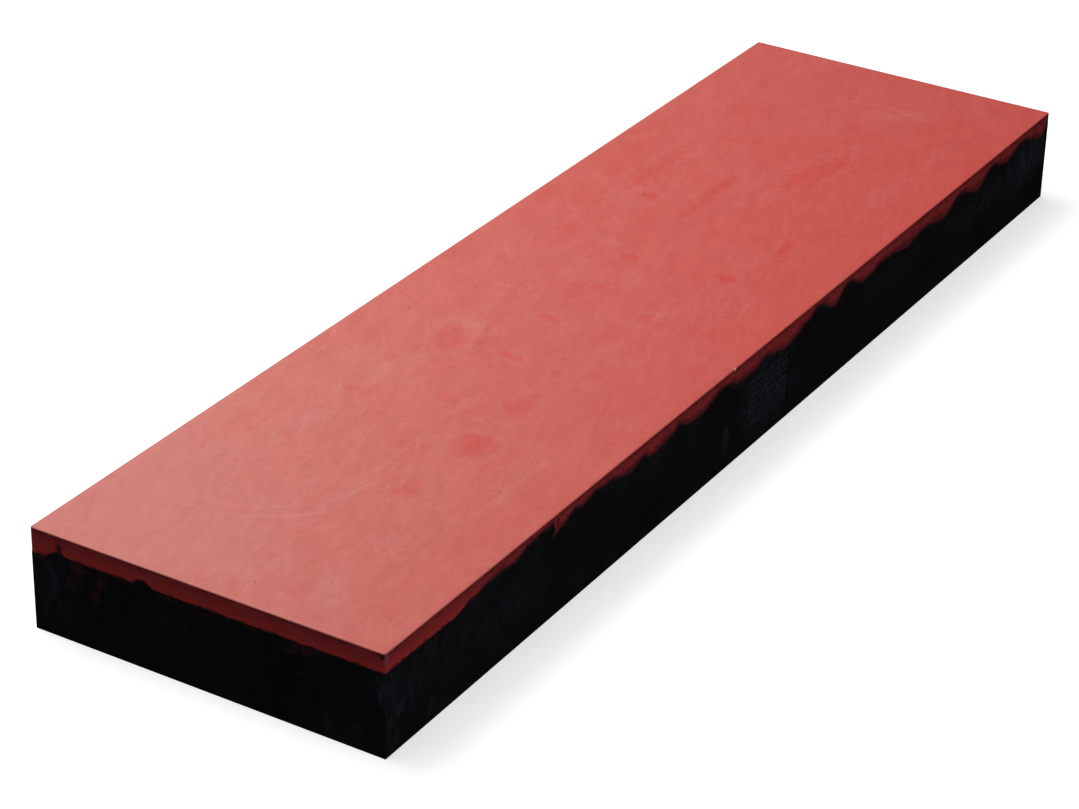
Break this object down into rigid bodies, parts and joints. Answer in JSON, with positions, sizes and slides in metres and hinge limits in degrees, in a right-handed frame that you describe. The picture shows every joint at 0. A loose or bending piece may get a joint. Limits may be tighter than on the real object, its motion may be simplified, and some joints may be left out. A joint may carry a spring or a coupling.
{
  "type": "rubber wear block",
  "caption": "Flat rectangular rubber wear block: a soft red cover cured onto a black body, with a steel plate and tapped bosses moulded in so that it bolts on from behind.",
  "frame": {"origin": "middle of the fixing face, which is the flat underside that the block is bolted down on", "axes": "+X along the block, +Y across it, +Z from the fixing face to the red wear face"},
  "size_m": [0.9, 0.25, 0.07],
  "materials": {
    "red_rubber": "dull, with a pale dusty bloom",
    "black_rubber": "moulded, satin",
    "plate_steel": "hot rolled, shot-blasted",
    "boss_steel": "turned"
  },
  "bodies": {
    "root": {"wear_cover": "red_rubber", "rubber_body": "black_rubber", "backing_plate": "plate_steel", "boss_1": "boss_steel", "boss_2": "boss_steel", "boss_3": "boss_steel", "boss_4": "boss_steel", "boss_5": "boss_steel", "boss_6": "boss_steel"}
  },
  "joints": []
}
